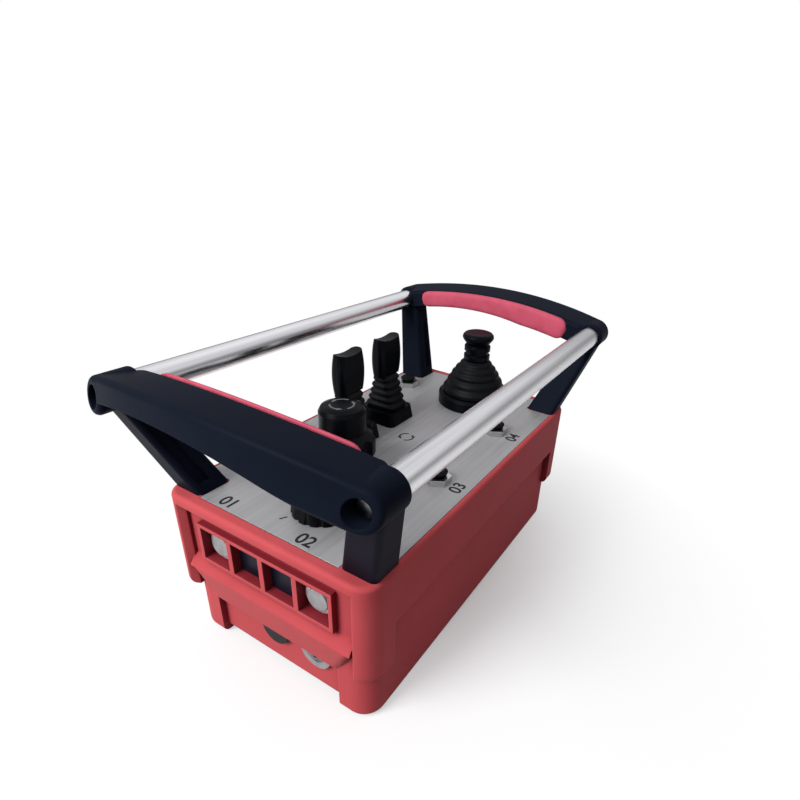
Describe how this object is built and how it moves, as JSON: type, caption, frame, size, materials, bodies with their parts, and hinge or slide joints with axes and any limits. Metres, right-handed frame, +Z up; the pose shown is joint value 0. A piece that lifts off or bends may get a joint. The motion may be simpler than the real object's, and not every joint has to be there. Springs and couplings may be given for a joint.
{
  "type": "crane radio remote control",
  "caption": "Handheld radio transmitter for a crane: red case, metal panel with paddles, joystick, stop button and selector, guarded by bowed brackets and steel tubes.",
  "frame": {"origin": "centre of the box at the bottom of the runners", "axes": "+X along the case away from the bay end, -Y towards the operator, +Z up"},
  "size_m": [0.3344, 0.199, 0.1941],
  "materials": {
    "case_red": "semi-gloss moulded",
    "seal_black": "matt",
    "panel_grey": "brushed anodised",
    "bracket_black": "satin",
    "grip_red": "soft matt",
    "tube_chrome": "polished",
    "steel": "machined",
    "control_black": "satin",
    "boot_rubber": "matt",
    "button_silver": "satin",
    "board_green": "solder mask",
    "standoff_brass": "machined",
    "module_metal": "satin",
    "battery_grey": "matt"
  },
  "bodies": {
    "case": {"lower_case": "case_red", "panel_gasket": "seal_black", "control_panel": "panel_grey", "bracket_left": "bracket_black", "bracket_right": "bracket_black", "grip_pad_left": "grip_red", "grip_pad_right": "grip_red", "guard_tube_front": "tube_chrome", "guard_tube_rear": "tube_chrome", "tube_plugs": "steel", "tube_screws": "steel", "corner_bolts": "steel", "paddle_a_base": "control_black", "paddle_a_boot": "boot_rubber", "paddle_a_housing": "control_black", "paddle_a_pin": "steel", "paddle_b_base": "control_black", "paddle_b_boot": "boot_rubber", "paddle_b_housing": "control_black", "paddle_b_pin": "steel", "joystick_base": "control_black", "joystick_housing": "control_black", "joystick_boot_lower": "boot_rubber", "stop_collar": "control_black", "stop_body": "control_black", "selector_body": "control_black", "push_nuts": "steel", "push_bodies": "control_black", "bay_rings": "button_silver", "bay_switches": "control_black", "bay_blanks": "control_black", "service_socket": "control_black", "service_cap": "seal_black", "key_ring": "button_silver", "main_board": "board_green", "board_standoffs": "standoff_brass", "radio_module": "module_metal", "antenna": "module_metal", "battery_pack": "battery_grey", "battery_cover": "control_black", "cover_screws": "steel"},
    "paddle_a": {"paddle_a_lever": "steel", "paddle_a_cap": "control_black"},
    "paddle_b": {"paddle_b_lever": "steel", "paddle_b_cap": "control_black"},
    "gimbal": {"joystick_gimbal": "steel", "joystick_boot_upper": "boot_rubber"},
    "joystick": {"joystick_stem": "control_black", "joystick_knob": "control_black"},
    "stop_plunger": {"stop_plunger": "control_black"},
    "stop_head": {"stop_head": "control_black"},
    "selector": {"selector_knob": "control_black"},
    "push_1": {"push_cap_1": "boot_rubber"},
    "push_2": {"push_cap_2": "boot_rubber"},
    "push_3": {"push_cap_3": "boot_rubber"},
    "push_4": {"push_cap_4": "boot_rubber"},
    "bay_left": {"bay_button_left": "button_silver"},
    "bay_right": {"bay_button_right": "button_silver"},
    "key": {"key_core": "button_silver"}
  },
  "joints": [
    {"name": "paddle_a_tilt", "type": "hinge", "parent": "case", "child": "paddle_a", "pos_m": [-0.02, 0.032, 0.102], "axis": [1, 0, 0], "range_deg": [-20, 20], "stiffness_Nm_per_rad": 0.6, "deforming": ["paddle_a_boot"]},
    {"name": "paddle_b_tilt", "type": "hinge", "parent": "case", "child": "paddle_b", "pos_m": [0.024, 0.032, 0.102], "axis": [1, 0, 0], "range_deg": [-20, 20], "stiffness_Nm_per_rad": 0.6, "deforming": ["paddle_b_boot"]},
    {"name": "joystick_x", "type": "hinge", "parent": "case", "child": "gimbal", "pos_m": [0.095, -0.009, 0.096], "axis": [1, 0, 0], "range_deg": [-18, 18], "stiffness_Nm_per_rad": 0.8, "deforming": ["joystick_boot_lower", "joystick_boot_upper"]},
    {"name": "joystick_y", "type": "hinge", "parent": "gimbal", "child": "joystick", "pos_m": [0.095, -0.009, 0.096], "axis": [0, 1, 0], "range_deg": [-18, 18], "stiffness_Nm_per_rad": 0.8, "deforming": ["joystick_boot_upper"]},
    {"name": "stop_push", "type": "slide", "parent": "case", "child": "stop_plunger", "axis": [0, 0, -1], "range_m": [0, 0.004]},
    {"name": "stop_twist", "type": "hinge", "parent": "stop_plunger", "child": "stop_head", "pos_m": [-0.056, 0.007, 0.11], "axis": [0, 0, -1], "range_deg": [0, 30], "stiffness_Nm_per_rad": 0.05},
    {"name": "selector_turn", "type": "hinge", "parent": "case", "child": "selector", "pos_m": [-0.096, -0.013, 0.11], "axis": [0, 0, -1], "range_deg": [-60, 60]},
    {"name": "push_1_press", "type": "slide", "parent": "case", "child": "push_1", "axis": [0, 0, -1], "range_m": [0, 0.0016], "stiffness_N_per_m": 900},
    {"name": "push_2_press", "type": "slide", "parent": "case", "child": "push_2", "axis": [0, 0, -1], "range_m": [0, 0.0016], "stiffness_N_per_m": 900},
    {"name": "push_3_press", "type": "slide", "parent": "case", "child": "push_3", "axis": [0, 0, -1], "range_m": [0, 0.0016], "stiffness_N_per_m": 900},
    {"name": "push_4_press", "type": "slide", "parent": "case", "child": "push_4", "axis": [0, 0, -1], "range_m": [0, 0.0016], "stiffness_N_per_m": 900},
    {"name": "bay_left_press", "type": "slide", "parent": "case", "child": "bay_left", "axis": [1, 0, 0], "range_m": [0, 0.002], "stiffness_N_per_m": 700},
    {"name": "bay_right_press", "type": "slide", "parent": "case", "child": "bay_right", "axis": [1, 0, 0], "range_m": [0, 0.002], "stiffness_N_per_m": 700},
    {"name": "key_turn", "type": "hinge", "parent": "case", "child": "key", "pos_m": [-0.129, -0.032, 0.033], "axis": [-1, 0, 0], "range_deg": [0, 90]}
  ]
}
